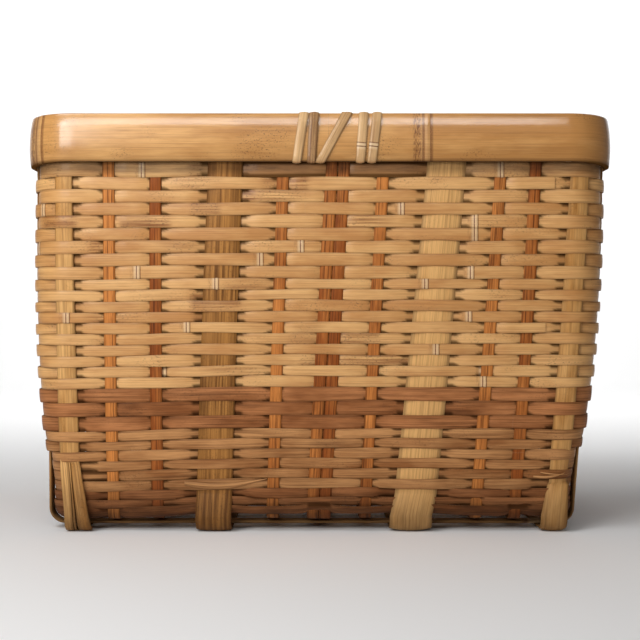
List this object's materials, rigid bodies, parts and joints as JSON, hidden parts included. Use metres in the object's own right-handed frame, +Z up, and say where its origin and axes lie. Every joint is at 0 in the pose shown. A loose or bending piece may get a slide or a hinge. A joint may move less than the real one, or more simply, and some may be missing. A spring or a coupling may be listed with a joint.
{
  "type": "harvest basket",
  "caption": "Rectangular woven bamboo harvest basket with a lashed rim and wide power bands that carry it under the base.",
  "frame": {"origin": "the middle of the overall box at the level that the basket stands on", "axes": "+Z up, +X to the right along the long side, the front with the wide lashing faces -Y"},
  "size_m": [0.6, 0.4032, 0.4251],
  "materials": {
    "weaver_pale": "split bamboo, honey tan, satin skin",
    "weaver_brown": "split bamboo, darkened to mid brown",
    "weaver_dark": "split bamboo, dark reddish brown",
    "stake": "split bamboo, orange brown, fine lengthwise grain",
    "power_band": "wide split bamboo, pale yellow tan, smooth skin",
    "base_slat": "split bamboo, tan",
    "rim": "thick bamboo hoop, honey tan, polished by use",
    "lashing": "split bamboo strip, light tan"
  },
  "bodies": {
    "root": {"weaver_01": "weaver_pale", "weaver_02": "weaver_pale", "weaver_03": "weaver_pale", "weaver_04": "weaver_pale", "weaver_05": "weaver_pale", "weaver_06": "weaver_pale", "weaver_07": "weaver_pale", "weaver_08": "weaver_pale", "weaver_09": "weaver_pale", "weaver_10": "weaver_pale", "weaver_11": "weaver_pale", "weaver_12": "weaver_pale", "weaver_13": "weaver_pale", "weaver_14": "weaver_pale", "weaver_15": "weaver_pale", "weaver_16": "weaver_pale", "weaver_17": "weaver_pale", "weaver_18": "weaver_pale", "weaver_19": "weaver_pale", "weaver_20": "weaver_dark", "weaver_21": "weaver_dark", "weaver_22": "weaver_dark", "weaver_23": "weaver_brown", "weaver_24": "weaver_brown", "weaver_25": "weaver_brown", "weaver_26": "weaver_brown", "weaver_27": "weaver_brown", "weaver_28": "weaver_brown", "weaver_29": "weaver_dark", "weaver_30": "weaver_dark", "weaver_31": "weaver_dark", "stake_cross_1": "stake", "stake_cross_2": "stake", "stake_cross_3": "stake", "stake_cross_5": "stake", "stake_cross_6": "stake", "stake_cross_7": "stake", "stake_cross_4_left": "stake", "stake_cross_4_right": "stake", "stake_long_1": "stake", "stake_long_2": "stake", "stake_long_3": "stake", "stake_long_4": "stake", "power_band_left": "power_band", "power_band_mid_left": "power_band", "power_band_mid_right": "power_band", "power_band_right": "power_band", "power_band_front": "power_band", "power_band_back": "power_band", "base_slat_cross_1": "base_slat", "base_slat_cross_2": "base_slat", "base_slat_long_1": "base_slat", "base_slat_long_2": "base_slat", "base_slat_long_3": "base_slat", "rim_outer_band": "rim", "rim_inner_band": "rim", "rim_filler": "stake", "rim_lashing_front": "lashing", "rim_lashing_back": "lashing"}
  },
  "joints": []
}
